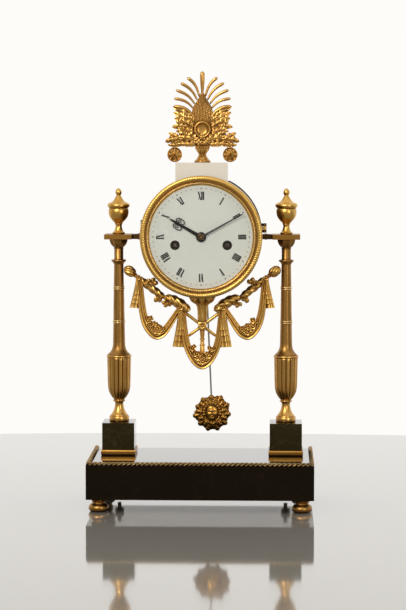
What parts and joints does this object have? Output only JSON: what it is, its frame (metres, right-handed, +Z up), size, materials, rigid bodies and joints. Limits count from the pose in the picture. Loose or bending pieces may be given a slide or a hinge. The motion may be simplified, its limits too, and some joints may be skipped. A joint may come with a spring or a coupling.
{
  "type": "portico clock",
  "caption": "Portico mantel clock: a round drum carried between turned columns on a marble slab, with palmette crest, festoons, hinged bezel and swinging pendulum.",
  "frame": {"origin": "on the surface under the feet, midway between the two column axes", "axes": "+Z up, the dial faces -Y, +X to the right of someone who reads the dial"},
  "size_m": [0.228, 0.1263, 0.4425],
  "materials": {
    "gilt_bronze": "fire gilt, satin and burnished",
    "dark_bronze": "patinated",
    "brass": "polished",
    "steel": "polished",
    "blued_steel": "dark blued",
    "black_marble": "polished",
    "green_marble": "polished",
    "white_marble": "honed",
    "enamel": "gloss",
    "glass": "clear"
  },
  "bodies": {
    "stand": {"rope_border": "gilt_bronze", "feet": "gilt_bronze", "plinth_bands": "gilt_bronze", "left_column_foot": "gilt_bronze", "right_column_foot": "gilt_bronze", "left_column_vase": "gilt_bronze", "right_column_vase": "gilt_bronze", "left_column_shaft": "gilt_bronze", "right_column_shaft": "gilt_bronze", "left_capital": "gilt_bronze", "right_capital": "gilt_bronze", "left_abacus": "gilt_bronze", "right_abacus": "gilt_bronze", "left_urn": "gilt_bronze", "right_urn": "gilt_bronze", "crest": "gilt_bronze", "swag_bracket": "gilt_bronze", "crossed_staffs": "gilt_bronze", "left_drape": "gilt_bronze", "middle_drape": "gilt_bronze", "right_drape": "gilt_bronze", "drum_case": "dark_bronze", "drum_arms": "dark_bronze", "front_plate": "brass", "back_plate": "brass", "pillars": "brass", "suspension_cock": "brass", "bell": "brass", "tie_rods": "steel", "hinge_pins": "steel", "base_slab": "black_marble", "left_plinth": "green_marble", "right_plinth": "green_marble", "marble_cap": "white_marble", "dial": "enamel"},
    "bezel_door": {"bezel": "gilt_bronze", "bezel_glass": "glass"},
    "back_door": {"rear_door": "dark_bronze"},
    "centre_arbor": {"centre_wheel": "brass", "minute_hand": "blued_steel", "hand_collet": "blued_steel"},
    "hour_pipe": {"hour_wheel": "brass", "hour_hand": "blued_steel"},
    "minute_arbor": {"minute_wheel": "brass"},
    "second_arbor": {"second_wheel": "brass"},
    "third_arbor": {"third_wheel": "brass"},
    "escape_arbor": {"escape_wheel": "brass"},
    "going_drum": {"going_barrel": "brass", "going_mainspring": "steel"},
    "going_winder": {"going_arbor": "steel"},
    "strike_drum": {"strike_barrel": "brass", "strike_mainspring": "steel"},
    "strike_winder": {"strike_arbor": "steel"},
    "count_arbor": {"count_wheel": "brass"},
    "pin_arbor": {"pin_wheel": "brass"},
    "fly_arbor": {"fly": "brass"},
    "hammer_arm": {"hammer": "steel"},
    "anchor_arbor": {"anchor": "steel"},
    "pendulum": {"pendulum_rod": "steel", "pendulum_bob": "gilt_bronze"}
  },
  "joints": [
    {"name": "bezel_hinge", "type": "hinge", "parent": "stand", "child": "bezel_door", "pos_m": [0.064, -0.03615, 0.274], "axis": [0, 0, 1], "range_deg": [0, 110]},
    {"name": "back_door_hinge", "type": "hinge", "parent": "stand", "child": "back_door", "pos_m": [-0.064, 0.03815, 0.274], "axis": [0, 0, 1], "range_deg": [0, 115]},
    {"name": "hands_turn", "type": "hinge", "parent": "stand", "child": "centre_arbor", "pos_m": [0, 0, 0.274], "axis": [0, 1, 0], "continuous": true},
    {"name": "hour_turn", "type": "hinge", "parent": "stand", "child": "hour_pipe", "pos_m": [0, 0, 0.274], "axis": [0, 1, 0], "continuous": true},
    {"name": "minute_wheel_turn", "type": "hinge", "parent": "stand", "child": "minute_arbor", "pos_m": [0, 0, 0.258], "axis": [0, 1, 0], "continuous": true},
    {"name": "second_wheel_turn", "type": "hinge", "parent": "stand", "child": "second_arbor", "pos_m": [0.0128, 0, 0.2836], "axis": [0, 1, 0], "continuous": true},
    {"name": "third_wheel_turn", "type": "hinge", "parent": "stand", "child": "third_arbor", "pos_m": [-0.01011, 0, 0.2862], "axis": [0, 1, 0], "continuous": true},
    {"name": "escape_wheel_turn", "type": "hinge", "parent": "stand", "child": "escape_arbor", "pos_m": [0, 0, 0.296], "axis": [0, 1, 0], "continuous": true},
    {"name": "going_barrel_turn", "type": "hinge", "parent": "stand", "child": "going_drum", "pos_m": [0.0263, 0, 0.2656], "axis": [0, 1, 0], "continuous": true},
    {"name": "count_wheel_turn", "type": "hinge", "parent": "stand", "child": "count_arbor", "pos_m": [-0.00681, 0, 0.25435], "axis": [0, 1, 0], "continuous": true},
    {"name": "strike_barrel_turn", "type": "hinge", "parent": "stand", "child": "strike_drum", "pos_m": [-0.0263, 0, 0.2656], "axis": [0, 1, 0], "continuous": true},
    {"name": "pin_wheel_turn", "type": "hinge", "parent": "stand", "child": "pin_arbor", "pos_m": [0.00822, 0, 0.24888], "axis": [0, 1, 0], "continuous": true},
    {"name": "fly_turn", "type": "hinge", "parent": "stand", "child": "fly_arbor", "pos_m": [0.00822, 0, 0.23304], "axis": [0, 1, 0], "continuous": true},
    {"name": "going_wind", "type": "hinge", "parent": "stand", "child": "going_winder", "pos_m": [0.0263, 0, 0.2656], "axis": [0, 1, 0], "range_deg": [0, 1800]},
    {"name": "strike_wind", "type": "hinge", "parent": "stand", "child": "strike_winder", "pos_m": [-0.0263, 0, 0.2656], "axis": [0, 1, 0], "range_deg": [0, 1800]},
    {"name": "pendulum_swing", "type": "hinge", "parent": "stand", "child": "pendulum", "pos_m": [0, 0.012, 0.31], "axis": [0, 1, 0], "range_deg": [-2.5, 7.5]},
    {"name": "anchor_swing", "type": "hinge", "parent": "stand", "child": "anchor_arbor", "pos_m": [0, 0, 0.31], "axis": [0, 1, 0], "range_deg": [-2.5, 7.5]},
    {"name": "hammer_lift", "type": "hinge", "parent": "stand", "child": "hammer_arm", "pos_m": [-0.036, 0, 0.256], "axis": [0, 1, 0], "range_deg": [-15, 2], "stiffness_Nm_per_rad": 0.02}
  ],
  "couplings": [
    {"joint": "hour_turn", "follows": "hands_turn", "ratio": 0.083333},
    {"joint": "minute_wheel_turn", "follows": "hands_turn", "ratio": -0.33333},
    {"joint": "second_wheel_turn", "follows": "hands_turn", "ratio": -0.11111},
    {"joint": "going_barrel_turn", "follows": "hands_turn", "ratio": 0.013889},
    {"joint": "third_wheel_turn", "follows": "hands_turn", "ratio": -10},
    {"joint": "escape_wheel_turn", "follows": "hands_turn", "ratio": 100},
    {"joint": "strike_barrel_turn", "follows": "count_wheel_turn", "ratio": -0.125},
    {"joint": "pin_wheel_turn", "follows": "count_wheel_turn", "ratio": -9},
    {"joint": "fly_turn", "follows": "count_wheel_turn", "ratio": 90},
    {"joint": "anchor_swing", "follows": "pendulum_swing", "ratio": 1}
  ]
}
